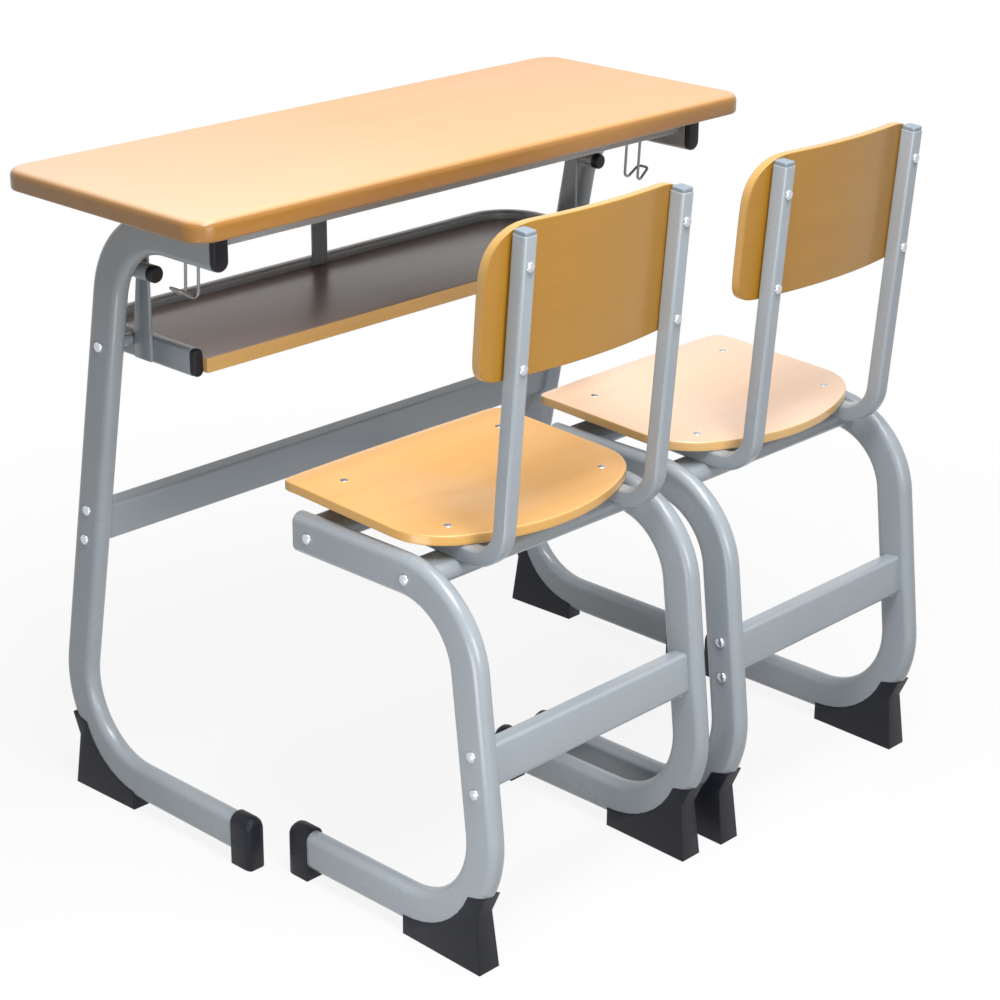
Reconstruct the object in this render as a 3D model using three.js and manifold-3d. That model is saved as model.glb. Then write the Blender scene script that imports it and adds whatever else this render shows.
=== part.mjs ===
// Two-seater classroom desk with its two chairs.
// Millimetres. Z is up, X runs along the desk, and the chairs stand on the -Y side.
// Inside the model the floor is z = 0 and the middle of the desktop is x = 0, y = 0.
import * as THREE from 'three';
import { mergeVertices } from 'three/addons/utils/BufferGeometryUtils.js';
import Module from 'manifold-3d';

const wasm = await Module();
wasm.setup();

// Desktop board
const deskLength = 910;
const deskDepth = 346;
const deskHeight = 790;
const topThickness = 24;
const topCornerRadius = 30;
const topUpperRound = 9;
const topLowerRound = 3;

// Flat-oval tube of all six side frames
const tubeWide = 47;
const tubeThin = 23;
const tubeRound = 10.5;
const baseLift = 15;

// Desk side frames
const frameSpread = 790;
const armSetback = 41;
const bendSetbackShare = 0.3786;
const legRakeShare = 0.3844;
const topBendShare = 0.3064;
const deskFootBend = 113;
const deskBaseSetback = 8;

// Chair side frames
const chairFrameSpread = 344;
const chairArmHeight = 458;
const chairArmLength = 253;
const chairLegRake = 48;
const chairTopBend = 98;
const chairBaseLength = 321;

// Where the chairs stand
const chairPitch = 407;
const firstChairOffset = 190;
const chairGap = 31;
const secondChairSetback = 7;

// Black end caps and feet of the base tubes
const capLength = 32;
const capFrontWall = 7;
const capSideWall = 1.5;
const capTopWall = 4;
const capNose = 9;
const capEdge = 4;
const capCorner = 12;
const capFootCorner = 1.5;
const armPlugLength = 6;
const deskFootLength = 109;
const chairFootLength = 123;
const footCover = 9;
const footTopCover = 20;
const footSplay = 3.5;
const footSideWall = 1.4;
const footHeel = 16;
const footWaist = 24;
const footEdge = 1.5;

// Rails under the desktop and the stretcher between the legs
const railTall = 22;
const railThin = 18;
const railRound = 2;
const frontRailInset = 3;
const stretcherHeight = 358;
const stretcherTall = 49;
const stretcherThin = 23;
const stretcherRound = 5;

// Book tray: a tube bent to a U that holds a board
const trayTop = 600;
const trayTubeTall = 33;
const trayTubeThin = 14;
const trayTubeRound = 5;
const trayRearSetback = 13;
const trayFrontSetback = 141;
const trayBend = 62;
const trayCapLength = 8;
const trayBoltDrop = 10;
const boardThickness = 18;
const boardDrop = 11;
const boardFrontReach = 14;

// Tray hangers and the round tubes that carry them
const stubDiameter = 20;
const stubHeight = 683;
const stubRearReach = 61;
const stubFrontReach = 22;
const stubCapLength = 9;
const stubCapRim = 1.5;
const hangerThickness = 4;
const hangerClearance = 1.3;
const hangerTopWidth = 18;
const hangerFootWidth = 30;
const hangerTopLift = 4;
const hangerFootLift = 3;

// Strip that holds the tray's rear tube up to the desktop
const stripWidth = 25;
const stripThickness = 3;
const stripFlange = 30;

// Bag hooks
const hookWire = 3.6;
const hookPitch = 22;
const hookInset = 13.5;
const hookRailDistance = 32;
const hookDrop = 97;
const hookLean = 5;
const hookReach = 24;
const hookBend = 6;
const hookLip = 16;
const hookTipWidth = 17;
const hookPlateLength = 41;
const hookPlateWidth = 20;
const hookPlateThickness = 2.5;

// Bolts and spacers
const boltShank = 8;
const boltHead = 13;
const boltHeadRise = 5;
const boltBite = 12;
const stretcherBoltPitch = 40;
const spacerDiameter = 15;

// Chair seat, seen from above, and its carrier
const seatWidth = 344;
const seatOverArm = 17;
const seatSlopeShare = 0.045;
const seatFrontReach = 33;
const seatDepth = 240;
const seatThickness = 12;
const seatFrontCorner = 13;
const seatRearCorner = 37;
const seatFrontBulge = 5;
const seatRearBulge = 35;
const seatDish = 9;
const seatFrontDrop = 5;
const postSpread = 241;
const postWide = 19;
const postThin = 20;
const postRound = 4;
const postBend = 44;
const postRise = 343;
const postLeanShare = 0.073;
const postHeel = 259;
const postCapHeight = 4;
const postCapRim = 1;
const seatRailFront = 8;
const seatBarFront = 29;
const seatBarPitch = 153;
const weldSink = 0.6;
const crossRailHeight = 242;

// Chair backrest
const backWidth = 311;
const backLift = 185;
const backTall = 166;
const backThickness = 11;
const backCurve = 690;
const backTopCorner = 51;
const backBottomCorner = 18;

// Clearance between pieces that touch, and overrun of cutting tools
const gap = 0.3;
const overrun = 5;

// Numbers of facets
const bendSteps = 8;
const roundSteps = 3;
const cornerSteps = 5;
const turnSides = 14;
const cutSides = 12;
const wireSides = 3;
const wireSteps = 44;
const plugSteps = 3;
const skinColumns = 14;
const seatRows = 14;
const backRows = 12;

const colours = {
  steel: new THREE.MeshStandardMaterial({ color: 0x9aa4a8, roughness: 0.45, metalness: 0.3 }),
  wire: new THREE.MeshStandardMaterial({ color: 0xa8adb0, roughness: 0.35, metalness: 0.8 }),
  bolt: new THREE.MeshStandardMaterial({ color: 0xb9bec4, roughness: 0.3, metalness: 0.9 }),
  plastic: new THREE.MeshStandardMaterial({ color: 0x2c2f39, roughness: 0.55, metalness: 0 }),
  greyPlastic: new THREE.MeshStandardMaterial({ color: 0x8b9aa3, roughness: 0.5, metalness: 0 }),
  top: new THREE.MeshStandardMaterial({ color: 0xf0cf9a, roughness: 0.4, metalness: 0 }),
  plywood: new THREE.MeshStandardMaterial({ color: 0xe6b673, roughness: 0.4, metalness: 0 }),
  tray: new THREE.MeshStandardMaterial({ color: 0x8f7f7c, roughness: 0.35, metalness: 0 }),
};

// A closed mesh from its corners and faces, turned so that its faces point out
function closedGeometry(corners, faces) {
  const volume = faces.reduce((sum, face) => {
    const [a, b, c] = face.map((index) => corners[index]);
    return sum + a.dot(b.clone().cross(c));
  }, 0);
  const index = volume < 0 ? faces.map((face) => face.slice().reverse()) : faces;
  const geometry = new THREE.BufferGeometry().setFromPoints(corners);
  geometry.setIndex(index.flat());
  return geometry;
}

// A solid stacked from convex rings with the same number of points
function stack(rings) {
  const count = rings[0].length;
  const last = (rings.length - 1) * count;
  const faces = [];
  for (let ring = 0; ring < last; ring += count) {
    for (let i = 0; i < count; i++) {
      const next = (i + 1) % count;
      faces.push([ring + i, ring + next, ring + count + next]);
      faces.push([ring + i, ring + count + next, ring + count + i]);
    }
  }
  for (let i = 1; i < count - 1; i++) {
    faces.push([0, i + 1, i]);
    faces.push([last, last + i, last + i + 1]);
  }
  return closedGeometry(rings.flat(), faces);
}

// A curved panel between two skins, each a function of u and v from 0 to 1
function panel(upper, lower, columns, rows) {
  const corners = [];
  for (const skin of [upper, lower]) {
    for (let row = 0; row <= rows; row++) {
      const v = (1 - Math.cos(Math.PI * row / rows)) / 2;
      for (let column = 0; column <= columns; column++) {
        corners.push(skin(column / columns, v));
      }
    }
  }
  const at = (skin, column, row) => (skin * (rows + 1) + row) * (columns + 1) + column;
  const faces = [];
  const quad = (a, b, c, d) => faces.push([a, b, c], [a, c, d]);
  for (let row = 0; row < rows; row++) {
    for (let column = 0; column < columns; column++) {
      quad(at(0, column, row), at(0, column + 1, row), at(0, column + 1, row + 1), at(0, column, row + 1));
      quad(at(1, column, row), at(1, column, row + 1), at(1, column + 1, row + 1), at(1, column + 1, row));
    }
    quad(at(0, 0, row), at(0, 0, row + 1), at(1, 0, row + 1), at(1, 0, row));
    quad(at(0, columns, row), at(1, columns, row), at(1, columns, row + 1), at(0, columns, row + 1));
  }
  for (let column = 0; column < columns; column++) {
    quad(at(0, column, 0), at(1, column, 0), at(1, column + 1, 0), at(0, column + 1, 0));
    quad(at(0, column, rows), at(0, column + 1, rows), at(1, column + 1, rows), at(1, column, rows));
  }
  return closedGeometry(corners, faces);
}

// Corners of a rounded rectangle, counter-clockwise
function roundedRectangle(width, depth, radius, lowerRadius = radius) {
  const points = [];
  for (let corner = 0; corner < 4; corner++) {
    const bend = corner < 2 ? radius : lowerRadius;
    const x = (width / 2 - bend) * (corner === 0 || corner === 3 ? 1 : -1);
    const y = (depth / 2 - bend) * (corner < 2 ? 1 : -1);
    for (let step = 0; step <= cornerSteps; step++) {
      const angle = (corner + step / cornerSteps) * Math.PI / 2;
      points.push(new THREE.Vector2(x + bend * Math.cos(angle), y + bend * Math.sin(angle)));
    }
  }
  return points;
}

// One edge of a bent bar: the centre line with round corners, moved sideways
function offsetLine(line, radii, offset) {
  const along = (a, b) => b.clone().sub(a).normalize();
  const left = (direction) => new THREE.Vector2(-direction.y, direction.x);
  const end = line.length - 1;
  const points = [line[0].clone().addScaledVector(left(along(line[0], line[1])), offset)];
  for (let i = 1; i < end; i++) {
    const before = along(line[i - 1], line[i]);
    const after = along(line[i], line[i + 1]);
    const turn = Math.atan2(before.cross(after), before.dot(after));
    const side = turn < 0 ? -1 : 1;
    const radius = radii[i - 1];
    const centre = line[i].clone()
      .addScaledVector(before, -radius * Math.tan(Math.abs(turn) / 2))
      .addScaledVector(left(before), side * radius);
    for (let step = 0; step <= bendSteps; step++) {
      const spoke = left(before).multiplyScalar(offset - side * radius);
      spoke.rotateAround(new THREE.Vector2(0, 0), turn * step / bendSteps);
      points.push(centre.clone().add(spoke));
    }
  }
  points.push(line[end].clone().addScaledVector(left(along(line[end - 1], line[end])), offset));
  return points;
}

function bandShape(line, radii, width) {
  const leftEdge = offsetLine(line, radii, width / 2);
  const rightEdge = offsetLine(line, radii, -width / 2).reverse();
  return new THREE.Shape([...leftEdge, ...rightEdge]);
}

// A slab of a flat shape, centred on its plane, with rounded edges
function slab(shape, thickness, round, steps = roundSteps) {
  const depth = thickness - 2 * round;
  const geometry = new THREE.ExtrudeGeometry(shape, {
    depth,
    curveSegments: steps,
    bevelEnabled: round > 0,
    bevelThickness: round,
    bevelSize: round,
    bevelOffset: -round,
    bevelSegments: steps,
  });
  return geometry.translate(0, 0, -depth / 2);
}

// Turns a slab drawn in X and Y so that its shape stands in the Y-Z plane
function upright(geometry) {
  const sideways = new THREE.Matrix4().makeBasis(
    new THREE.Vector3(0, 1, 0),
    new THREE.Vector3(0, 0, 1),
    new THREE.Vector3(1, 0, 0),
  );
  return geometry.applyMatrix4(sideways);
}

// A turned piece along X, from pairs of radius and place along its axis
function turned(profile, sides) {
  const points = profile.map(([radius, place]) => new THREE.Vector2(radius, place));
  return new THREE.LatheGeometry(points, sides).rotateZ(-Math.PI / 2);
}

function rod(radius, start, end, sides) {
  return turned([[0, start], [radius, start], [radius, end], [0, end]], sides);
}

function solid(geometry) {
  const bare = geometry.clone();
  bare.deleteAttribute('normal');
  bare.deleteAttribute('uv');
  const merged = mergeVertices(bare, gap / 100);
  return new wasm.Manifold(new wasm.Mesh({
    numProp: 3,
    vertProperties: new Float32Array(merged.attributes.position.array),
    triVerts: new Uint32Array(merged.index.array),
  }));
}

function geometryOf(manifold) {
  const mesh = manifold.getMesh();
  const geometry = new THREE.BufferGeometry();
  geometry.setAttribute('position', new THREE.BufferAttribute(mesh.vertProperties, 3));
  geometry.setIndex(new THREE.BufferAttribute(mesh.triVerts, 1));
  return geometry;
}

function cut(geometry, cutters) {
  return geometryOf(cutters.reduce((body, cutter) => body.subtract(solid(cutter)), solid(geometry)));
}

function join(geometries) {
  return geometryOf(geometries.map(solid).reduce((body, other) => body.add(other)));
}

function piece(parent, name, geometry, material, x = 0, y = 0, z = 0) {
  const mesh = new THREE.Mesh(geometry, material);
  mesh.name = name;
  mesh.position.set(x, y, z);
  parent.add(mesh);
  return mesh;
}

const point = (y, z) => new THREE.Vector2(y, z);
const bothSides = [['left', -1], ['right', 1]];

// Derived heights and places shared by several pieces
const topUnderside = deskHeight - topThickness;
const baseHeight = baseLift + tubeWide / 2;
const capHeight = baseLift + tubeWide + capTopWall;

// Centre lines of the side frames in the Y-Z plane
const deskBendSetback = deskDepth * bendSetbackShare;
const deskLegRake = deskDepth * legRakeShare;
const deskTopBend = deskDepth * topBendShare;
const deskFrame = {
  rearward: 1,
  footBend: deskFootBend,
  topBend: deskTopBend,
  armEnd: point(-deskDepth / 2 + armSetback, topUnderside - gap - tubeWide / 2),
  topCorner: point(deskDepth / 2 - deskBendSetback, topUnderside - gap - tubeWide / 2),
  footCorner: point(deskDepth / 2 - deskBendSetback + deskLegRake, baseHeight),
  capFront: -deskDepth / 2 + deskBaseSetback,
  footLength: deskFootLength,
};

const chairCapFront = deskFrame.capFront - chairGap;
const chairFootPlace = chairCapFront - chairBaseLength;
const chairArmMiddle = chairArmHeight - tubeWide / 2;
const chairFrame = {
  rearward: -1,
  footBend: deskFootBend,
  topBend: chairTopBend,
  armEnd: point(chairFootPlace + chairLegRake + chairArmLength, chairArmMiddle),
  topCorner: point(chairFootPlace + chairLegRake, chairArmMiddle),
  footCorner: point(chairFootPlace, baseHeight),
  capFront: chairCapFront,
  footLength: chairFootLength,
};

function frameLine(frame) {
  const baseEnd = point(frame.capFront + frame.rearward * capFrontWall, baseHeight);
  return [frame.armEnd, frame.topCorner, frame.footCorner, baseEnd];
}

function frameBar(frame, extra) {
  const shape = bandShape(frameLine(frame), [frame.topBend, frame.footBend], tubeWide + 2 * extra);
  return upright(slab(shape, tubeThin + 2 * extra, tubeRound));
}

// Place of the straight leg's centre line at a height
function legPlace(frame, height) {
  const share = (height - frame.footCorner.y) / (frame.topCorner.y - frame.footCorner.y);
  return frame.footCorner.x + share * (frame.topCorner.x - frame.footCorner.x);
}

function legTilt(frame) {
  return Math.atan2(frame.footCorner.x - frame.topCorner.x, frame.topCorner.y - frame.footCorner.y);
}

// Centre of the bend above the rear foot
function footBendCentre(frame) {
  const turn = Math.PI / 2 + Math.abs(legTilt(frame));
  const reach = frame.footBend * Math.tan(turn / 2);
  return point(frame.footCorner.x - frame.rearward * reach, baseHeight + frame.footBend);
}

// Black cap on the front end of a base tube, with a rounded nose
function baseCap(frame) {
  const rings = [];
  const ring = (insetShare, reach) => {
    const width = tubeThin + 2 * (capSideWall - capEdge * insetShare);
    const tall = capHeight - capNose * insetShare;
    const outline = roundedRectangle(width, tall, capCorner - capEdge * insetShare, capFootCorner);
    const place = frame.capFront + frame.rearward * reach;
    rings.push(outline.map((p) => new THREE.Vector3(p.x, place, p.y + tall / 2)));
  };
  for (let step = 0; step <= roundSteps; step++) {
    const angle = step / roundSteps * Math.PI / 2;
    ring(1 - Math.sin(angle), capNose * (1 - Math.cos(angle)));
  }
  ring(0, capLength);
  return cut(stack(rings), [frameBar(frame, gap)]);
}

// Black foot that cups the outside of the bend at the rear end of a base tube
function rearFoot(frame) {
  const centre = footBendCentre(frame);
  const outer = frame.footBend + tubeWide / 2;
  const heel = outer - footHeel;
  const toe = heel - frame.footLength;
  const coverTurnShare = 0.36;
  const tipTurnShare = 0.27;
  const waistHeightShare = 0.45;
  const firstAngle = -Math.acos(toe / (outer - footCover));
  const lastAngle = -Math.PI / 2 * coverTurnShare;
  const tipAngle = -Math.PI / 2 * tipTurnShare;
  const local = [[toe, 0]];
  for (let step = 0; step <= bendSteps; step++) {
    const share = step / bendSteps;
    const angle = firstAngle + (lastAngle - firstAngle) * share;
    const saddle = outer - footCover - (footTopCover - footCover) * share * share;
    local.push([saddle * Math.cos(angle), centre.y + saddle * Math.sin(angle)]);
  }
  local.push([outer * Math.cos(tipAngle), centre.y + outer * Math.sin(tipAngle)]);
  local.push([outer - footWaist, centre.y * waistHeightShare]);
  local.push([heel, 0]);
  const shape = new THREE.Shape(local.map(([out, up]) => point(centre.x + frame.rearward * out, up)));
  const block = upright(slab(shape, tubeThin + 2 * footSideWall, footEdge));
  const corners = block.attributes.position;
  for (let i = 0; i < corners.count; i++) {
    const reachShare = ((corners.getY(i) - centre.x) * frame.rearward - toe) / frame.footLength;
    const lowShare = Math.max(1 - corners.getZ(i) / baseLift, 0);
    corners.setX(i, corners.getX(i) + Math.sign(corners.getX(i)) * footSplay * reachShare * lowShare);
  }
  return cut(block, [frameBar(frame, gap)]);
}

// Bolt along X with a domed head at its outer end; 'reach' is the shank's length
function boltProfile(reach) {
  const radius = boltHead / 2;
  const shank = boltShank / 2;
  const rimShare = 0.35;
  const crownShare = 0.6;
  return [
    [0, -reach],
    [shank, -reach],
    [shank, 0],
    [radius, 0],
    [radius, boltHeadRise * rimShare],
    [radius * crownShare, boltHeadRise * (1 + crownShare) / 2],
    [0, boltHeadRise],
  ];
}

function bolt(reach, side) {
  const geometry = turned(boltProfile(reach), turnSides);
  return side < 0 ? geometry.rotateZ(Math.PI) : geometry;
}

const desk = new THREE.Group();

// Desktop
function desktop() {
  const rings = [];
  const ring = (inset, z) => {
    const [long, deep] = [deskLength - 2 * inset, deskDepth - 2 * inset];
    const outline = roundedRectangle(long, deep, topCornerRadius - inset);
    rings.push(outline.map((p) => new THREE.Vector3(p.x, p.y, z)));
  };
  for (let step = 0; step <= roundSteps; step++) {
    const angle = step / roundSteps * Math.PI / 2;
    ring(topLowerRound * (1 - Math.sin(angle)), topUnderside + topLowerRound * (1 - Math.cos(angle)));
  }
  for (let step = 0; step <= roundSteps; step++) {
    const angle = step / roundSteps * Math.PI / 2;
    ring(topUpperRound * (1 - Math.cos(angle)), deskHeight - topUpperRound * (1 - Math.sin(angle)));
  }
  return stack(rings);
}
piece(desk, 'desktop', desktop(), colours.top);

// Side frames of the desk, with holes for the stretcher and tray bolts
const frameInner = frameSpread / 2 - tubeThin / 2;
const frameOuter = frameSpread / 2 + tubeThin / 2;
const trayBoltHeight = trayTop - trayBoltDrop;
const stretcherTilt = legTilt(deskFrame);
const stretcherBolts = [-1, 1].map((row) => {
  const up = row * stretcherBoltPitch / 2;
  const height = stretcherHeight + up * Math.cos(stretcherTilt);
  return { row, y: legPlace(deskFrame, height), z: height };
});
const trayBolt = { y: legPlace(deskFrame, trayBoltHeight), z: trayBoltHeight };
const boltHoleRadius = boltShank / 2 + gap;

function boltHole(place, start, end) {
  return rod(boltHoleRadius, start, end, cutSides).translate(0, place.y, place.z);
}

for (const [side, sign] of bothSides) {
  const holes = [...stretcherBolts, trayBolt].map((place) => boltHole(place, -tubeThin, tubeThin));
  const bar = cut(frameBar(deskFrame, 0), holes);
  piece(desk, `desk_frame_${side}`, bar, colours.steel, sign * frameSpread / 2);
  piece(desk, `desk_base_cap_${side}`, baseCap(deskFrame), colours.plastic, sign * frameSpread / 2);
  piece(desk, `desk_rear_foot_${side}`, rearFoot(deskFrame), colours.plastic, sign * frameSpread / 2);
}

// Plugs in the front ends of the arms
function ovalPlug(wide, thin, length) {
  const shape = new THREE.Shape();
  const flat = wide / 2 - thin / 2;
  shape.absarc(flat, 0, thin / 2, -Math.PI / 2, Math.PI / 2);
  shape.absarc(-flat, 0, thin / 2, Math.PI / 2, Math.PI * 3 / 2);
  shape.closePath();
  return slab(shape, length, length / 4, plugSteps - 1);
}
for (const [side, sign] of bothSides) {
  const plug = ovalPlug(tubeWide, tubeThin, armPlugLength).rotateZ(Math.PI / 2).rotateX(Math.PI / 2);
  const y = deskFrame.armEnd.x - gap - armPlugLength / 2;
  piece(desk, `arm_cap_${side}`, plug, colours.plastic, sign * frameSpread / 2, y, deskFrame.armEnd.y);
}

// Rails under the desktop
const railLength = 2 * (frameInner - gap);
const railHeight = topUnderside - gap - railTall / 2;
const armStraightEnd = deskFrame.topCorner.x - deskTopBend;
function straightRail(tall, thin, round, length) {
  return upright(slab(new THREE.Shape(roundedRectangle(thin, tall, round)), length, 0));
}
const topRail = () => straightRail(railTall, railThin, railRound, railLength);
const frontRailPlace = deskFrame.armEnd.x + frontRailInset + railThin / 2;
piece(desk, 'top_rail_front', topRail(), colours.steel, 0, frontRailPlace, railHeight);
const rearRailPlace = armStraightEnd + 2 * railThin;
piece(desk, 'top_rail_rear', topRail(), colours.steel, 0, rearRailPlace, railHeight);

// Stretcher between the legs, tilted with them
function stretcher() {
  const bar = straightRail(stretcherTall, stretcherThin, stretcherRound, railLength);
  const holes = bothSides.flatMap(([, sign]) => stretcherBolts.map((place) => {
    const ends = [sign * (frameInner - boltBite - overrun), sign * (frameInner + overrun)];
    const hole = rod(boltHoleRadius, Math.min(...ends), Math.max(...ends), cutSides);
    return hole.translate(0, 0, place.row * stretcherBoltPitch / 2);
  }));
  return cut(bar, holes).rotateX(stretcherTilt);
}
const stretcherPlace = legPlace(deskFrame, stretcherHeight);
piece(desk, 'stretcher', stretcher(), colours.steel, 0, stretcherPlace, stretcherHeight);

for (const [side, sign] of bothSides) {
  stretcherBolts.forEach(({ row, y, z }) => {
    const name = `stretcher_bolt_${side}_${row < 0 ? 'lower' : 'upper'}`;
    const reach = tubeThin + gap + boltBite;
    piece(desk, name, bolt(reach, sign), colours.bolt, sign * (frameOuter + gap), y, z);
  });
}

// Round tubes on the inner faces of the legs, and the hangers on them
const hangerFront = trayBolt.y - spacerDiameter / 2 - hangerClearance - hangerFootWidth;
const stubFront = hangerFront - stubFrontReach;
const stubRear = hangerFront + stubRearReach;
const stubCentre = frameInner - gap - stubDiameter / 2;
const hangerOuter = stubCentre - stubDiameter / 2 - gap;
const hangerInner = hangerOuter - hangerThickness;
const trayOuter = hangerInner - gap;
const trayBottom = trayTop - trayTubeTall;
const hangerTop = stubHeight + stubDiameter / 2 + hangerTopLift;
const hangerBottom = trayBottom + hangerFootLift;

function hanger() {
  const shape = new THREE.Shape([
    point(hangerFront, hangerBottom),
    point(hangerFront + hangerFootWidth, hangerBottom),
    point(hangerFront + hangerFootWidth, trayTop),
    point(hangerFront + hangerTopWidth, hangerTop),
    point(hangerFront, hangerTop),
  ]);
  return upright(slab(shape, hangerThickness, 0));
}

for (const [side, sign] of bothSides) {
  const tube = rod(stubDiameter / 2, stubFront, stubRear, turnSides).rotateZ(Math.PI / 2);
  piece(desk, `tray_carrier_${side}`, tube, colours.steel, sign * stubCentre, 0, stubHeight);
  const rim = stubDiameter / 2;
  const shoulder = stubCapLength - stubCapRim * 2;
  const capProfile = [[0, 0], [rim, 0], [rim, shoulder], [rim / 2, stubCapLength], [0, stubCapLength]];
  const plug = turned(capProfile, turnSides).rotateZ(-Math.PI / 2);
  piece(desk, `tray_carrier_cap_${side}`, plug, colours.plastic,
    sign * stubCentre, stubFront - gap, stubHeight);
  piece(desk, `tray_hanger_${side}`, hanger(), colours.steel, sign * (hangerInner + hangerThickness / 2));
}

// Tray tube, bent to a U around the board
const trayFront = -deskDepth / 2 + trayFrontSetback;
const trayLineX = trayOuter - trayTubeThin / 2;
const trayLineRear = deskDepth / 2 - trayRearSetback - trayTubeThin / 2;
const trayMiddle = trayTop - trayTubeTall / 2;

function trayFrame() {
  const line = [
    point(-trayLineX, trayFront),
    point(-trayLineX, trayLineRear),
    point(trayLineX, trayLineRear),
    point(trayLineX, trayFront),
  ];
  const bar = slab(bandShape(line, [trayBend, trayBend], trayTubeThin), trayTubeTall, trayTubeRound);
  bar.translate(0, 0, trayMiddle);
  const bite = trayTubeThin / 2;
  return cut(bar, bothSides.map(([, sign]) => {
    const ends = [sign * (trayOuter - bite), sign * (trayOuter + overrun)];
    return boltHole(trayBolt, Math.min(...ends), Math.max(...ends));
  }));
}
piece(desk, 'tray_frame', trayFrame(), colours.steel);

// Tray board, held inside the U
const boardHalf = trayLineX - trayTubeThin / 2 - gap;
const boardRear = trayLineRear - trayTubeThin / 2 - gap;
const boardFront = trayFront - boardFrontReach;
const boardCorner = trayBend - trayTubeThin / 2 - gap;

function trayBoard() {
  const shape = new THREE.Shape();
  shape.moveTo(-boardHalf, boardFront);
  shape.lineTo(boardHalf, boardFront);
  shape.absarc(boardHalf - boardCorner, boardRear - boardCorner, boardCorner, 0, Math.PI / 2);
  shape.absarc(-boardHalf + boardCorner, boardRear - boardCorner, boardCorner, Math.PI / 2, Math.PI);
  shape.closePath();
  return slab(shape, boardThickness, 0, cornerSteps);
}
piece(desk, 'tray_board', trayBoard(), colours.tray, 0, 0, trayTop - boardDrop - boardThickness / 2);

// Front caps of the tray tube, and the bolts and spacers that hold it to the legs
for (const [side, sign] of bothSides) {
  const cap = ovalPlug(trayTubeTall, trayTubeThin, trayCapLength).rotateZ(Math.PI / 2).rotateX(Math.PI / 2);
  piece(desk, `tray_cap_${side}`, cap, colours.plastic,
    sign * trayLineX, trayFront - gap - trayCapLength / 2, trayMiddle);
  const spacerLength = frameInner - trayOuter - 2 * gap;
  const bore = rod(boltHoleRadius, -spacerLength, spacerLength, cutSides);
  const sleeve = rod(spacerDiameter / 2, -spacerLength / 2, spacerLength / 2, turnSides);
  const spacerPlace = sign * (frameInner + trayOuter) / 2;
  piece(desk, `tray_spacer_${side}`, cut(sleeve, [bore]), colours.steel,
    spacerPlace, trayBolt.y, trayBolt.z);
  const reach = frameOuter - trayOuter + trayTubeThin / 4;
  piece(desk, `tray_bolt_${side}`, bolt(reach, sign), colours.bolt,
    sign * (frameOuter + gap), trayBolt.y, trayBolt.z);
}

// Strip from the desktop's underside down to the tray's rear tube
const stripFoot = trayTop - boardDrop + gap;
const stripHead = topUnderside - gap;
const stripBack = trayLineRear - trayTubeThin / 2 - gap;
const stripShape = new THREE.Shape([
  point(stripBack, stripFoot),
  point(stripBack, stripHead),
  point(stripBack - stripFlange, stripHead),
  point(stripBack - stripFlange, stripHead - stripThickness),
  point(stripBack - stripThickness, stripHead - stripThickness),
  point(stripBack - stripThickness, stripFoot),
]);
piece(desk, 'tray_centre_strip', upright(slab(stripShape, stripWidth, 0)), colours.steel);

// Bag hooks: one bent wire each, on a small plate under the desktop
function bagHook(sign) {
  const half = hookPitch / 2;
  const tipHalf = hookTipWidth / 2;
  const low = -hookDrop;
  const tip = low + hookLip;
  const middle = (half + tipHalf) / 2;
  const oneSide = [
    [0, half, 0],
    [0, half, low / 3],
    [0, half, low * 2 / 3],
    [0, half, low + hookBend],
    [hookBend / 2, half, low],
    [hookReach / 2, middle, low + hookLip / 3],
    [hookReach - hookBend / 2, tipHalf, tip - hookBend / 2],
    [hookReach, tipHalf - hookBend / 2, tip],
  ];
  const otherSide = oneSide.map(([x, y, z]) => [x, -y, z]).reverse();
  const route = [...oneSide, ...otherSide].map(([x, y, z]) => {
    const lean = hookLean * z / low;
    return new THREE.Vector3(sign * x, y + lean, z);
  });
  const section = new THREE.Shape();
  section.absarc(0, 0, hookWire / 2, 0, Math.PI * 2);
  const wire = new THREE.ExtrudeGeometry(section, {
    steps: wireSteps,
    curveSegments: wireSides,
    extrudePath: new THREE.CatmullRomCurve3(route, false, 'catmullrom', 1 / 2),
  });
  const outline = new THREE.Shape(roundedRectangle(hookPlateWidth, hookPlateLength, hookWire));
  return join([slab(outline, hookPlateThickness, 0), wire]);
}
const hookPlateHeight = topUnderside - gap - hookPlateThickness / 2;
const hookMiddle = rearRailPlace - hookRailDistance;
for (const [side, sign] of bothSides) {
  const x = sign * (frameInner - hookInset);
  piece(desk, `bag_hook_${side}`, bagHook(sign), colours.wire, x, hookMiddle, hookPlateHeight);
}

// Chair: derived heights and places, with x = 0 in the middle of the chair
const seatHeight = chairArmHeight + seatOverArm;
const postTop = seatHeight + postRise;
const backBottom = seatHeight + backLift;
const railTop = seatHeight - seatThickness - gap;
const railMiddle = railTop - postThin / 2;
const postHeelPlace = chairFrame.armEnd.x - postHeel;
const barMiddle = railTop - postThin - tubeThin / 2 + weldSink;
const barFrontPlace = chairFrame.armEnd.x - seatBarFront;
const barRearPlace = barFrontPlace - seatBarPitch;
const chairInner = chairFrameSpread / 2 - tubeThin / 2;
const seatFrontEdge = chairFrame.armEnd.x + seatFrontReach;
const seatRearEdge = seatFrontEdge - seatDepth;

const seatRise = (place) => seatSlopeShare * (place - postHeelPlace);
const postPlace = (height) => postHeelPlace - postLeanShare * (height - railMiddle);

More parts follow.
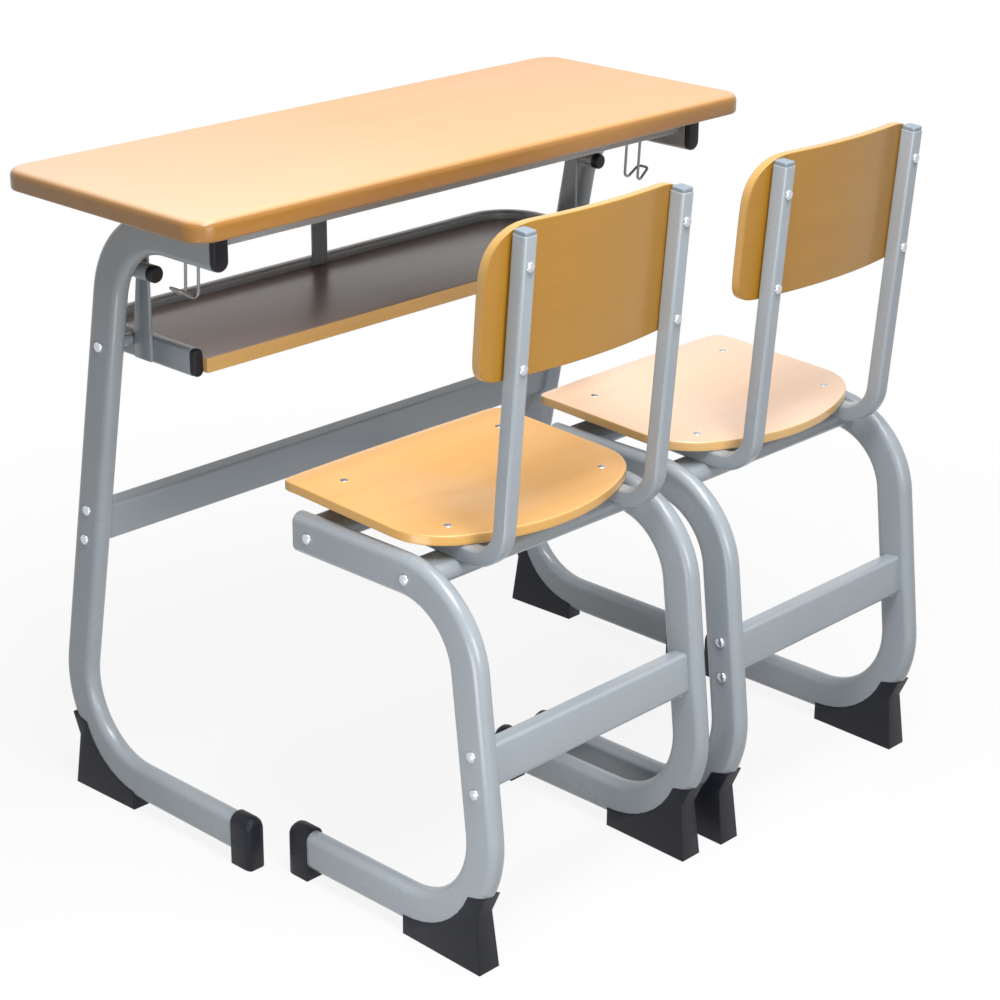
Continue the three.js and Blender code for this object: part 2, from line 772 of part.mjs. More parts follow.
// Two L-shaped posts and two cross bars, welded into one carrier
function seatCarrier() {
  const railFront = chairFrame.armEnd.x + seatRailFront;
  const line = [
    point(railFront, railMiddle + seatRise(railFront)),
    point(postHeelPlace, railMiddle),
    point(postPlace(postTop), postTop),
  ];
  const post = upright(slab(bandShape(line, [postBend], postThin), postWide, postRound));
  const posts = bothSides.map(([, sign]) => post.clone().translate(sign * postSpread / 2, 0, 0));
  const bar = straightRail(tubeThin, tubeWide, tubeRound, 2 * (chairInner - gap));
  const barPlaces = [barFrontPlace, barRearPlace];
  const bars = barPlaces.map((y) => bar.clone().translate(0, y, barMiddle + seatRise(y)));
  return join([...posts, ...bars]);
}

// Half the width of a board at a share of its length, with round corners at both ends
function halfWidth(width, length, v, cornerBefore, cornerAfter) {
  const corner = v < 1 / 2 ? cornerBefore : cornerAfter;
  const short = Math.max(corner - Math.min(v, 1 - v) * length, 0);
  return width / 2 - corner + Math.sqrt(corner * corner - short * short);
}

// Seat board, dished in the middle and rolled down at the front
function seatSkin(level) {
  return (u, v) => {
    const x = (2 * u - 1) * halfWidth(seatWidth, seatDepth, v, seatRearCorner, seatFrontCorner);
    const rearShare = 1 - (x / (seatWidth / 2 - seatRearCorner)) ** 2;
    const frontShare = 1 - (x / (seatWidth / 2 - seatFrontCorner)) ** 2;
    const bulge = seatFrontBulge * frontShare * v * v - seatRearBulge * rearShare * (1 - v) * (1 - v);
    const y = seatRearEdge + v * seatDepth + bulge;
    const dishHalf = postSpread / 2 - postWide / 2;
    const dishShare = Math.cos(Math.min(Math.abs(x) / dishHalf, 1) * Math.PI / 2) * Math.sin(Math.PI * v);
    const lipStart = chairFrame.armEnd.x + seatRailFront;
    const lipShare = Math.max(y - lipStart, 0) / (seatFrontEdge + seatFrontBulge - lipStart);
    const drop = seatDish * dishShare * dishShare + seatFrontDrop * lipShare * lipShare;
    return new THREE.Vector3(x, y, seatHeight + seatRise(y) - drop - level);
  };
}

// Backrest board, leaning with the posts and curved round the sitter
function backSkin(level) {
  return (u, v) => {
    const x = (2 * u - 1) * halfWidth(backWidth, backTall, v, backBottomCorner, backTopCorner);
    const z = backBottom + v * backTall;
    const contact = postSpread / 2 - postWide / 2 + postRound;
    const curve = (x * x - contact * contact) / (2 * backCurve);
    const front = postPlace(z) + postThin / 2 * Math.hypot(1, postLeanShare);
    return new THREE.Vector3(x, front + gap + Math.max(curve, -backThickness * 2) + level, z);
  };
}

function chair(name) {
  const group = new THREE.Group();
  for (const [side, sign] of bothSides) {
    const x = sign * chairFrameSpread / 2;
    piece(group, `${name}_frame_${side}`, frameBar(chairFrame, 0), colours.steel, x);
    piece(group, `${name}_base_cap_${side}`, baseCap(chairFrame), colours.plastic, x);
    piece(group, `${name}_rear_foot_${side}`, rearFoot(chairFrame), colours.plastic, x);
    const [capWide, capThin] = [postWide - 2 * postCapRim, postThin - 2 * postCapRim];
    const capOutline = roundedRectangle(capWide, capThin, postRound - postCapRim);
    const cap = slab(new THREE.Shape(capOutline), postCapHeight, postCapRim);
    cap.rotateX(Math.atan(postLeanShare));
    const capMiddle = postTop + (gap + postCapHeight / 2) / Math.hypot(1, postLeanShare);
    piece(group, `${name}_post_cap_${side}`, cap, colours.greyPlastic,
      sign * postSpread / 2, postPlace(capMiddle), capMiddle);
  }
  const rail = straightRail(stretcherTall, stretcherThin, stretcherRound, 2 * (chairInner - gap));
  rail.rotateX(legTilt(chairFrame));
  piece(group, `${name}_cross_rail`, rail, colours.steel,
    0, legPlace(chairFrame, crossRailHeight), crossRailHeight);
  piece(group, `${name}_seat_carrier`, seatCarrier(), colours.steel);
  const seat = panel(seatSkin(0), seatSkin(seatThickness), skinColumns, seatRows);
  piece(group, `${name}_seat`, seat, colours.plywood);
  const back = panel(backSkin(0), backSkin(backThickness), skinColumns, backRows);
  piece(group, `${name}_backrest`, back, colours.plywood);
  return group;
}

const chairOne = chair('chair_1');
const chairTwo = chair('chair_2');
chairOne.position.x = -firstChairOffset;
chairTwo.position.x = -firstChairOffset + chairPitch;
chairTwo.position.y = -secondChairSetback;

// The whole set, moved so that the origin is under the middle of its bounding box
const group = new THREE.Group();
group.add(desk, chairOne, chairTwo);
group.updateMatrixWorld(true);
const box = new THREE.Box3().setFromObject(group);
group.position.x = -(box.min.x + box.max.x) / 2;
group.position.y = -(box.min.y + box.max.y) / 2;

export default group;
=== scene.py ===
import math

import bpy
from mathutils import Matrix, Vector


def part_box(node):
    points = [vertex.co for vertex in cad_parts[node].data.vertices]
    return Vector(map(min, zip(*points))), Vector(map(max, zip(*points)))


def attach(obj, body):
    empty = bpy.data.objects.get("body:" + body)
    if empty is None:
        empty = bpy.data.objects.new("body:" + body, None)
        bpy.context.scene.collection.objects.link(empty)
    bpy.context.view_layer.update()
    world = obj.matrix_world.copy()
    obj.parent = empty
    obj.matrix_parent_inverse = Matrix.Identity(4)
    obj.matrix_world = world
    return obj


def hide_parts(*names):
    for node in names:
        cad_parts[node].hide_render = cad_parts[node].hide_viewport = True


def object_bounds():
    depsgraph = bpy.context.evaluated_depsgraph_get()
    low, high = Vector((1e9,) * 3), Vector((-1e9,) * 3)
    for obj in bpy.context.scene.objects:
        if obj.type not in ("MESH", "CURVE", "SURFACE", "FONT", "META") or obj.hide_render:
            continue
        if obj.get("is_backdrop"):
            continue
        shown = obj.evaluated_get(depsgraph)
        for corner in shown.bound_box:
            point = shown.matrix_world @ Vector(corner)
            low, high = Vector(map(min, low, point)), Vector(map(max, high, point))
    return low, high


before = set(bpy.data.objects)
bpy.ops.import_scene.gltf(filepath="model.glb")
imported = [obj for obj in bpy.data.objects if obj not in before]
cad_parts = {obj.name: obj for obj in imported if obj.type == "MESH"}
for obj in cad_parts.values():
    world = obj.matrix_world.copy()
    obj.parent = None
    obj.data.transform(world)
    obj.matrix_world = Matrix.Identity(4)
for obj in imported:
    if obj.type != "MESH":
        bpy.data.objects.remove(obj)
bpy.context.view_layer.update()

X_AXIS = Vector((1, 0, 0))
Y_AXIS = Vector((0, 1, 0))
Z_AXIS = Vector((0, 0, 1))
MERGE = 0.00002
GAP = 0.0003
NEARLY_HALF = 0.4999

# Flat-oval tube of the six side frames
TUBE_WIDE = 0.047
TUBE_THIN = 0.023
TUBE_ROUND = 0.0105
FOOT_BEND = 0.113
TUBE_SECTION_STEPS = 8
TUBE_BEND_STEPS = 28
TUBE_END_SOFTNESS = 0.0015

# Places in the Y-Z plane, counted from the middle of the desktop
DESK_ARM_END = (-0.132, 0.7422)
DESK_TOP_CORNER = (0.0420, 0.7422)
DESK_FOOT_CORNER = (0.1750, 0.0385)
DESK_BASE_END = (-0.158, 0.0385)
DESK_TOP_BEND = 0.106
CHAIR_ARM_END = (-0.216, 0.4345)
CHAIR_TOP_CORNER = (-0.469, 0.4345)
CHAIR_FOOT_CORNER = (-0.517, 0.0385)
CHAIR_BASE_END = (-0.203, 0.0385)
CHAIR_TOP_BEND = 0.098

CHAIRS = ("chair_1", "chair_2")
SIDES = (("left", -1), ("right", 1))


def middle(name):
    low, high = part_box(name)
    return (low + high) / 2


DESK_Y = middle("desktop").y
CHAIR_MIDDLES = {}
for chair in CHAIRS:
    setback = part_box(chair + "_frame_left")[0].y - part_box("chair_1_frame_left")[0].y
    CHAIR_MIDDLES[chair] = Vector((middle(chair + "_seat").x, DESK_Y + setback, 0))


# Modelling with Blender's own tools

def choose(piece):
    bpy.ops.object.select_all(action="DESELECT")
    piece.select_set(True)
    bpy.context.view_layer.objects.active = piece


def settle():
    bpy.ops.object.transform_apply(location=True, rotation=True, scale=True)


def open_edit():
    bpy.ops.object.mode_set(mode="EDIT")
    bpy.ops.mesh.select_mode(type="VERT")
    bpy.ops.mesh.select_all(action="SELECT")


def close_edit():
    bpy.ops.object.mode_set(mode="OBJECT")


def tidy_shell():
    """Merges doubled points and turns all faces outwards. Works in edit mode."""
    bpy.ops.mesh.select_all(action="SELECT")
    bpy.ops.mesh.remove_doubles(threshold=MERGE)
    bpy.ops.mesh.select_all(action="SELECT")
    bpy.ops.mesh.normals_make_consistent(inside=False)


def select_where(piece, kind, test):
    """Selects the points, edges or faces that pass a test. Starts and ends in edit mode."""
    bpy.ops.mesh.select_mode(type=kind)
    bpy.ops.mesh.select_all(action="DESELECT")
    bpy.ops.object.mode_set(mode="OBJECT")
    mesh = piece.data
    points = mesh.vertices
    if kind == "VERT":
        for point in points:
            point.select = test(point.co)
    elif kind == "EDGE":
        for edge in mesh.edges:
            edge.select = all(test(points[i].co) for i in edge.vertices)
    else:
        for face in mesh.polygons:
            face.select = test(face)
    bpy.ops.object.mode_set(mode="EDIT")


def extrude(step):
    bpy.ops.mesh.extrude_region_move(TRANSFORM_OT_translate={"value": tuple(step)})


def outline(place, across, along, width, tall, rounding, steps):
    """A rounded rectangle standing at place and facing along. Left in edit mode."""
    along = along.normalized()
    across = across.normalized()
    turn = Matrix((across, along.cross(across), along)).transposed()
    bpy.ops.object.select_all(action="DESELECT")
    bpy.ops.mesh.primitive_plane_add(size=1, location=place, rotation=turn.to_euler())
    piece = bpy.context.object
    piece.scale = (width, tall, 1)
    settle()
    open_edit()
    if rounding:
        bpy.ops.mesh.bevel(offset=rounding, segments=steps, affect="VERTICES")
        bpy.ops.mesh.select_all(action="SELECT")
    return piece


def bent_bar(line, bends, across, width, tall, rounding, section_steps=6, bend_steps=20):
    """A bar with a rounded section, drawn along a line and spun round its bends."""
    points = [Vector(place) for place in line]
    ways = [(b - a).normalized() for a, b in zip(points, points[1:])]
    bar = outline(points[0], across, ways[0], width, tall, rounding, section_steps)
    bpy.ops.mesh.delete(type="ONLY_FACE")
    bpy.ops.mesh.select_all(action="SELECT")
    here = points[0]
    for corner, before, after, radius in zip(points[1:], ways, ways[1:], bends):
        turn = before.angle(after)
        axis = before.cross(after).normalized()
        reach = radius * math.tan(turn / 2)
        start = corner - before * reach
        extrude(start - here)
        centre = start + axis.cross(before) * radius
        bpy.ops.mesh.spin(steps=bend_steps, angle=-turn, center=centre, axis=axis)
        here = corner + after * reach
    extrude(points[-1] - here)
    bpy.ops.mesh.edge_face_add()
    bpy.ops.mesh.select_all(action="DESELECT")
    bpy.ops.mesh.select_mode(type="EDGE")
    bpy.ops.mesh.select_non_manifold()
    bpy.ops.mesh.edge_face_add()
    tidy_shell()
    close_edit()
    return bar


def round_bar(start, end, diameter):
    """A straight round bar that lies across X."""
    rounding = diameter * NEARLY_HALF
    return bent_bar([start, end], [], X_AXIS, diameter, diameter, rounding, section_steps=8)


def modify(piece, kind, **settings):
    choose(piece)
    modifier = piece.modifiers.new(kind.lower(), kind)
    for key, value in settings.items():
        setattr(modifier, key, value)
    bpy.ops.object.modifier_apply(modifier=modifier.name)


def soften(piece, width, segments=3, angle=50):
    """Rounds every edge that is sharper than the angle."""
    modify(piece, "BEVEL", width=width, segments=segments, limit_method="ANGLE",
           angle_limit=math.radians(angle), use_clamp_overlap=True)


def smooth(piece, angle=35):
    choose(piece)
    bpy.ops.object.shade_smooth_by_angle(angle=math.radians(angle))


def merged_copy(name, dissolve=1.0):
    """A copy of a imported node's loose triangles, merged to one clean shell."""
    piece = bpy.data.objects.new(name + "_copy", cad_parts[name].data.copy())
    bpy.context.scene.collection.objects.link(piece)
    choose(piece)
    open_edit()
    tidy_shell()
    if dissolve:
        bpy.ops.mesh.select_all(action="SELECT")
        bpy.ops.mesh.dissolve_limited(angle_limit=math.radians(dissolve))
    close_edit()
    return piece


def twin(piece, shift):
    """A second piece with its own mesh, moved by shift."""
    other = piece.copy()
    other.data = piece.data.copy()
    other.data.transform(Matrix.Translation(shift))
    bpy.context.scene.collection.objects.link(other)
    return other


def joined(pieces):
    choose(pieces[0])
    for piece in pieces:
        piece.select_set(True)
    bpy.ops.object.join()
    return bpy.context.object


def body_of(name):
    for chair in CHAIRS:
        if name.startswith(chair):
            return chair
    return "desk"


def place_piece(piece, name, material, nodes=()):
    piece.name = name
    piece.data.name = name
    piece.data.materials.clear()
    piece.data.materials.append(material)
    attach(piece, body_of(name))
    if nodes:
        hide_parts(*nodes)
    return piece


# Finishes

def node(tree, kind, inputs=None, **settings):
    made = tree.nodes.new(kind)
    for key, value in settings.items():
        setattr(made, key, value)
    for key, value in (inputs or {}).items():
        if isinstance(value, bpy.types.NodeSocket):
            tree.links.new(value, made.inputs[key])
        else:
            made.inputs[key].default_value = value
    return made


def noise(tree, vector, scale, detail=2.0, roughness=0.5, distortion=0.0):
    return node(tree, "ShaderNodeTexNoise", {"Vector": vector, "Scale": scale, "Detail": detail,
                "Roughness": roughness, "Distortion": distortion}).outputs["Fac"]


def stretch(tree, vector, scale):
    return node(tree, "ShaderNodeMapping", {"Vector": vector, "Scale": scale}).outputs["Vector"]


def remap(tree, value, low, high, to_low=0.0, to_high=1.0):
    return node(tree, "ShaderNodeMapRange", {"Value": value, "From Min": low, "From Max": high,
                "To Min": to_low, "To Max": to_high}).outputs["Result"]


def calc(tree, operation, a, b=0.0, clamp=False):
    return node(tree, "ShaderNodeMath", {0: a, 1: b}, operation=operation, use_clamp=clamp).outputs[0]


def blend_colour(tree, share, a, b):
    mixed = node(tree, "ShaderNodeMix", {0: share, 6: a, 7: b}, data_type="RGBA", blend_type="MIX")
    return mixed.outputs[2]


def new_group(name, inputs, outputs):
    group = bpy.data.node_groups.new(name, "ShaderNodeTree")
    for label, kind, value in inputs:
        socket = group.interface.new_socket(label, in_out="INPUT", socket_type="NodeSocket" + kind)
        if value is not None:
            socket.default_value = value
    for label, kind in outputs:
        group.interface.new_socket(label, in_out="OUTPUT", socket_type="NodeSocket" + kind)
    return group, group.nodes.new("NodeGroupInput").outputs, group.nodes.new("NodeGroupOutput").inputs


# Patterns of beech: stretch along, across and through the grain
BROAD_BANDS = (1.3, 9.0, 9.0)
STREAKS = (2.2, 46.0, 46.0)
FIBRES = (7.0, 330.0, 330.0)
FLECKS = (110.0, 1100.0, 1100.0)
FLECK_BROWN = (0.16, 0.07, 0.02, 1)

# Patterns of paint and plastic, in waves to the metre, and the height under which they are scuffed
SLOW_TINT = 7.0
SPECKS = 950.0
SCRATCHES = (160.0, 34.0, 60.0)
SCUFF_HEIGHT = 0.16
TINT_DARK = (0.02, 0.022, 0.025, 1)
PEEL_DEPTH = 0.0004
GRAIN_DEPTH = 0.0003

# Up part of the normal on a flat face and on a rim
FLAT_UP = 0.97
RIM_UP = 0.55

# Layers in a board's edge and their unevenness
LAYERS = 5.0
LAYER_WOBBLE = (20.0, 20.0, 90.0)


def beech_group():
    """Beech: long soft bands, fine fibres and short dark flecks along X."""
    group, given, out = new_group("beech", [
        ("Vector", "Vector", None), ("Light", "Color", (0.9, 0.66, 0.4, 1)),
        ("Dark", "Color", (0.75, 0.48, 0.22, 1)), ("Bands", "Float", 0.5), ("Flecks", "Float", 0.5),
    ], [("Color", "Color"), ("Height", "Float")])
    vector = given["Vector"]
    broad = noise(group, stretch(group, vector, BROAD_BANDS), 1.0, 2.0, 0.5, 0.4)
    streaks = noise(group, stretch(group, vector, STREAKS), 1.0, 4.0, 0.6, 0.3)
    fibres = noise(group, stretch(group, vector, FIBRES), 1.0, 3.0, 0.6)
    flecks = noise(group, stretch(group, vector, FLECKS), 1.0, 1.0, 0.4)
    wide_share = calc(group, "ADD", remap(group, broad, 0.35, 0.65, 0.0, 0.45),
                      remap(group, streaks, 0.35, 0.7, 0.0, 0.4))
    fibre_share = remap(group, fibres, 0.35, 0.7, 0.0, 0.22)
    share = calc(group, "MULTIPLY", calc(group, "ADD", wide_share, fibre_share), given["Bands"], True)
    colour = blend_colour(group, share, given["Light"], given["Dark"])
    fleck_share = calc(group, "MULTIPLY", remap(group, flecks, 0.6, 0.7), given["Flecks"], True)
    darker = blend_colour(group, 0.25, given["Dark"], FLECK_BROWN)
    group.links.new(blend_colour(group, fleck_share, colour, darker), out["Color"])
    group.links.new(calc(group, "SUBTRACT", fibres, fleck_share), out["Height"])
    return group


def coat_group():
    """Sprayed or moulded skin: slow tint, fine peel, specks and scuffs near the floor."""
    group, given, out = new_group("coat", [
        ("Vector", "Vector", None), ("Tone", "Color", (0.4, 0.4, 0.4, 1)), ("Peel", "Float", 600.0),
        ("Tint", "Float", 0.08), ("Scuff", "Float", 0.3), ("Scuff Color", "Color", (0.6, 0.6, 0.6, 1)),
        ("Rough", "Float", 0.4),
    ], [("Color", "Color"), ("Roughness", "Float"), ("Height", "Float")])
    vector = given["Vector"]
    slow = noise(group, vector, SLOW_TINT, 3.0)
    peel = noise(group, vector, given["Peel"], 2.0)
    specks = noise(group, vector, SPECKS, 0.0)
    scratches = noise(group, stretch(group, vector, SCRATCHES), 1.0, 3.0, 0.7, 1.2)
    height = node(group, "ShaderNodeSeparateXYZ", {"Vector": vector}).outputs["Z"]
    low_down = remap(group, height, SCUFF_HEIGHT, 0.0)
    tone_share = calc(group, "MULTIPLY", remap(group, slow, 0.3, 0.7), given["Tint"])
    toned = blend_colour(group, tone_share, given["Tone"], TINT_DARK)
    speck_share = calc(group, "MULTIPLY", remap(group, specks, 0.66, 0.74), given["Tint"])
    specked = blend_colour(group, speck_share, toned, given["Scuff Color"])
    worn = calc(group, "MULTIPLY", remap(group, scratches, 0.58, 0.66), low_down, True)
    scuff_share = calc(group, "MULTIPLY", worn, given["Scuff"], True)
    group.links.new(blend_colour(group, scuff_share, specked, given["Scuff Color"]), out["Color"])
    spread = remap(group, slow, 0.3, 0.7, -0.05, 0.05)
    duller = calc(group, "MULTIPLY", worn, 0.2)
    rough = calc(group, "ADD", calc(group, "ADD", given["Rough"], spread), duller)
    group.links.new(rough, out["Roughness"])
    group.links.new(peel, out["Height"])
    return group


beech = beech_group()
coat = coat_group()


def new_material(name, **uniform):
    material = bpy.data.materials.new(name)
    material.use_nodes = True
    tree = material.node_tree
    shader = tree.nodes["Principled BSDF"]
    for key, value in uniform.items():
        shader.inputs[key.replace("_", " ")].default_value = value
    place = node(tree, "ShaderNodeTexCoord").outputs["Object"]
    return material, tree, shader, place


def bump(tree, shader, height, strength, distance):
    raised = node(tree, "ShaderNodeBump", {"Height": height, "Strength": strength, "Distance": distance})
    tree.links.new(raised.outputs["Normal"], shader.inputs["Normal"])


def coated(name, tone, peel, tint, scuff, scuff_colour, rough, bumpiness, **uniform):
    material, tree, shader, place = new_material(name, **uniform)
    skin = node(tree, "ShaderNodeGroup", node_tree=coat)
    tree.links.new(place, skin.inputs["Vector"])
    for key, value in (("Tone", tone), ("Peel", peel), ("Tint", tint), ("Scuff", scuff),
                       ("Scuff Color", scuff_colour), ("Rough", rough)):
        skin.inputs[key].default_value = value
    tree.links.new(skin.outputs["Color"], shader.inputs["Base Color"])
    tree.links.new(skin.outputs["Roughness"], shader.inputs["Roughness"])
    bump(tree, shader, skin.outputs["Height"], bumpiness, PEEL_DEPTH)
    return material


def grained(tree, place, light, dark, bands, flecks):
    wood = node(tree, "ShaderNodeGroup", node_tree=beech)
    tree.links.new(place, wood.inputs["Vector"])
    for key, value in (("Light", light), ("Dark", dark), ("Bands", bands), ("Flecks", flecks)):
        wood.inputs[key].default_value = value
    return wood


def top_material():
    """Pale lacquered beech that turns ochre round the rolled edge, with painted light that makes the top
    paler towards its left end.
    """
    material, tree, shader, place = new_material(
        "top_wood", Roughness=0.34, Coat_Weight=0.25, Coat_Roughness=0.2)
    face = grained(tree, place, light=(0.86, 0.465, 0.19, 1), dark=(0.79, 0.39, 0.13, 1),
                   bands=0.6, flecks=0.2)
    edge = grained(tree, place, light=(0.43, 0.21, 0.043, 1), dark=(0.35, 0.15, 0.028, 1),
                   bands=0.7, flecks=0.2)
    normal = node(tree, "ShaderNodeNewGeometry").outputs["Normal"]
    up = node(tree, "ShaderNodeSeparateXYZ", {"Vector": normal}).outputs["Z"]
    along = node(tree, "ShaderNodeSeparateXYZ", {"Vector": place}).outputs["X"]
    # Painted light: the top is blended towards a paler colour towards its left end, where more light
    # falls.
    painted_light_share = remap(tree, along, 0.0, -0.45, 0.0, 0.55)
    pale = blend_colour(tree, painted_light_share, face.outputs["Color"], (0.92, 0.63, 0.44, 1))
    share = remap(tree, up, FLAT_UP, RIM_UP)
    colour = blend_colour(tree, share, pale, edge.outputs["Color"])
    tree.links.new(colour, shader.inputs["Base Color"])
    bump(tree, shader, face.outputs["Height"], 0.08, GRAIN_DEPTH)
    return material


def board_material(name, light, dark, edge_light, edge_dark, bands, flecks):
    """Veneered board. Its edge shows faint layers, from the board's own level attribute."""
    material, tree, shader, place = new_material(
        name, Roughness=0.32, Coat_Weight=0.3, Coat_Roughness=0.18)
    face = grained(tree, place, light, dark, bands, flecks)
    level = node(tree, "ShaderNodeAttribute", attribute_name="level").outputs["Fac"]
    rim = node(tree, "ShaderNodeAttribute", attribute_name="rim").outputs["Fac"]
    wobble = noise(tree, stretch(tree, place, LAYER_WOBBLE), 1.0, 2.0)
    layered = calc(tree, "MULTIPLY", level, LAYERS)
    shifted = calc(tree, "ADD", layered, calc(tree, "MULTIPLY", wobble, 0.2))
    layer = calc(tree, "PINGPONG", shifted, 1.0)
    layers = blend_colour(tree, remap(tree, layer, 0.15, 0.85), edge_light, edge_dark)
    colour = blend_colour(tree, rim, face.outputs["Color"], layers)
    tree.links.new(colour, shader.inputs["Base Color"])
    bump(tree, shader, face.outputs["Height"], 0.07, GRAIN_DEPTH)
    return material


def tray_material():
    """Grey-brown laminate with ochre edges. Painted light makes it paler towards its left end."""
    material, tree, shader, place = new_material(
        "tray_wood", Roughness=0.3, Coat_Weight=0.1, Coat_Roughness=0.2)
    face = grained(tree, place, light=(0.2, 0.14, 0.125, 1), dark=(0.12, 0.075, 0.06, 1),
                   bands=0.9, flecks=0.1)
    along = node(tree, "ShaderNodeSeparateXYZ", {"Vector": place}).outputs["X"]
    # Painted light: the face is blended towards a pale grey-pink towards its left end, standing in for
    # light that falls there.
    painted_light_share = remap(tree, along, -0.02, -0.36, 0.0, 0.9)
    pale = blend_colour(tree, painted_light_share, face.outputs["Color"], (0.66, 0.58, 0.58, 1))
    edge = grained(tree, place, light=(0.74, 0.47, 0.17, 1), dark=(0.6, 0.34, 0.1, 1),
                   bands=0.7, flecks=0.3)
    normal = node(tree, "ShaderNodeNewGeometry").outputs["Normal"]
    up = node(tree, "ShaderNodeSeparateXYZ", {"Vector": normal}).outputs["Z"]
    share = remap(tree, calc(tree, "ABSOLUTE", up), 0.85, 0.5)
    colour = blend_colour(tree, share, pale, edge.outputs["Color"])
    tree.links.new(colour, shader.inputs["Base Color"])
    bump(tree, shader, face.outputs["Height"], 0.05, GRAIN_DEPTH)
    return material


PAINT = coated("frame_paint", tone=(0.37, 0.415, 0.455, 1), peel=420.0, tint=0.08, scuff=0.05,
               scuff_colour=(0.14, 0.14, 0.14, 1), rough=0.3, bumpiness=0.1,
               Coat_Weight=0.3, Coat_Roughness=0.2)
BLACK = coated("black_plastic", tone=(0.008, 0.009, 0.015, 1), peel=900.0, tint=0.1, scuff=0.08,
               scuff_colour=(0.1, 0.1, 0.1, 1), rough=0.42, bumpiness=0.2,
               Specular_IOR_Level=0.25)
GREY = coated("grey_plastic", tone=(0.27, 0.33, 0.39, 1), peel=800.0, tint=0.1, scuff=0.0,
              scuff_colour=(0.5, 0.5, 0.5, 1), rough=0.4, bumpiness=0.15)
ZINC = coated("bolt_metal", tone=(0.62, 0.65, 0.7, 1), peel=300.0, tint=0.12, scuff=0.0,
              scuff_colour=(0.4, 0.4, 0.42, 1), rough=0.25, bumpiness=0.06,
              Metallic=0.85)
WIRE = coated("hook_wire", tone=(0.27, 0.28, 0.29, 1), peel=500.0, tint=0.15, scuff=0.0,
              scuff_colour=(0.3, 0.3, 0.3, 1), rough=0.28, bumpiness=0.05,
              Metallic=0.8)
TOP = top_material()
SEATS = {
    "chair_1": board_material("seat_wood", light=(0.91, 0.53, 0.205, 1), dark=(0.8, 0.41, 0.12, 1),
                              edge_light=(0.78, 0.44, 0.12, 1), edge_dark=(0.74, 0.4, 0.1, 1),
                              bands=0.6, flecks=0.12),
    "chair_2": board_material("seat_wood_pale", light=(0.96, 0.68, 0.49, 1), dark=(0.91, 0.57, 0.34, 1),
                              edge_light=(0.82, 0.51, 0.2, 1), edge_dark=(0.78, 0.47, 0.17, 1),
                              bands=0.5, flecks=0.1),
}
# The backrest's face colour is a darker copy of the seats' beech. This is painted shade on its rear face,
# which is turned away from the light above. The edge colours are the wood's own.
BACK_PAINTED_SHADE = board_material("back_wood_painted_shade", light=(0.46, 0.222, 0.018, 1), dark=(0.385, 0.178, 0.012, 1),
                      edge_light=(0.7, 0.42, 0.14, 1), edge_dark=(0.66, 0.38, 0.11, 1),
                      bands=0.6, flecks=0.15)
TRAY = tray_material()


# Side frames

def side_frame(corners, top_bend):
    """One bent side tube in the plane X = 0, placed from the middle of the desktop."""
    line = [Vector((0, DESK_Y + y, z)) for y, z in corners]
    bar = bent_bar(line, [top_bend, FOOT_BEND], X_AXIS,
                   TUBE_THIN, TUBE_WIDE, TUBE_ROUND, TUBE_SECTION_STEPS, TUBE_BEND_STEPS)
    soften(bar, TUBE_END_SOFTNESS)
    smooth(bar)
    return bar


DESK_LINE = (DESK_ARM_END, DESK_TOP_CORNER, DESK_FOOT_CORNER, DESK_BASE_END)
CHAIR_LINE = (CHAIR_ARM_END, CHAIR_TOP_CORNER, CHAIR_FOOT_CORNER, CHAIR_BASE_END)

desk_tube = side_frame(DESK_LINE, DESK_TOP_BEND)
chair_tube = side_frame(CHAIR_LINE, CHAIR_TOP_BEND)
for side, _ in SIDES:
    name = f"desk_frame_{side}"
    tube = twin(desk_tube, (middle(name).x, 0, 0))
    place_piece(tube, name + "_tube", PAINT, [name])
    for chair in CHAIRS:
        name = f"{chair}_frame_{side}"
        shift = (middle(name).x, CHAIR_MIDDLES[chair].y - DESK_Y, 0)
        place_piece(twin(chair_tube, shift), name + "_tube", PAINT, [name])
bpy.data.objects.remove(desk_tube)
bpy.data.objects.remove(chair_tube)


# Feet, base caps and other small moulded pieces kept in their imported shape

BASE_CAP_SOFTNESS = 0.0012
FOOT_SOFTNESS = 0.0008
PLATE_SOFTNESS = 0.0006
STRIP_SOFTNESS = 0.0005


def moulded(name, material, width, segments=3):
    piece = merged_copy(name)
    soften(piece, width, segments, angle=45)
    smooth(piece, angle=40)
    return place_piece(piece, name + "_moulding", material, [name])


for owner in ("desk", *CHAIRS):
    for side, _ in SIDES:
        moulded(f"{owner}_base_cap_{side}", BLACK, BASE_CAP_SOFTNESS)
        moulded(f"{owner}_rear_foot_{side}", BLACK, FOOT_SOFTNESS)


# Plugs in the open tube ends

PLUG_SECTION_STEPS = 8
PLUG_DOME_STEPS = 5

# Corner radius and dome of each plug. A round plug has its corner radius as a share of its size.
SQUARE_PLUGS = (("arm_cap", 0.0113, 0.004), ("tray_cap", 0.0065, 0.003))
ROUND_PLUG = ("tray_carrier_cap", 0.49, 0.003)


def plug(place, across, along, width, tall, rounding, length, dome):
    """A plug whose outer rim is rounded over towards along."""
    piece = outline(place, across, along, width, tall, rounding, PLUG_SECTION_STEPS)
    extrude(along * length)
    face_place = place + along * length
    select_where(piece, "EDGE", lambda co: abs((co - face_place).dot(along)) < MERGE)
    bpy.ops.mesh.bevel(offset=dome, segments=PLUG_DOME_STEPS, affect="EDGES")
    tidy_shell()
    close_edit()
    smooth(piece, angle=40)
    return piece


def front_plug(name, wide, rounding, dome):
    """A black plug that faces the front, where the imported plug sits."""
    low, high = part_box(name)
    place = Vector((middle(name).x, high.y, middle(name).z))
    cap = plug(place, X_AXIS, -Y_AXIS, wide, high.z - low.z, rounding, high.y - low.y, dome)
    return place_piece(cap, name + "_plug", BLACK, [name])


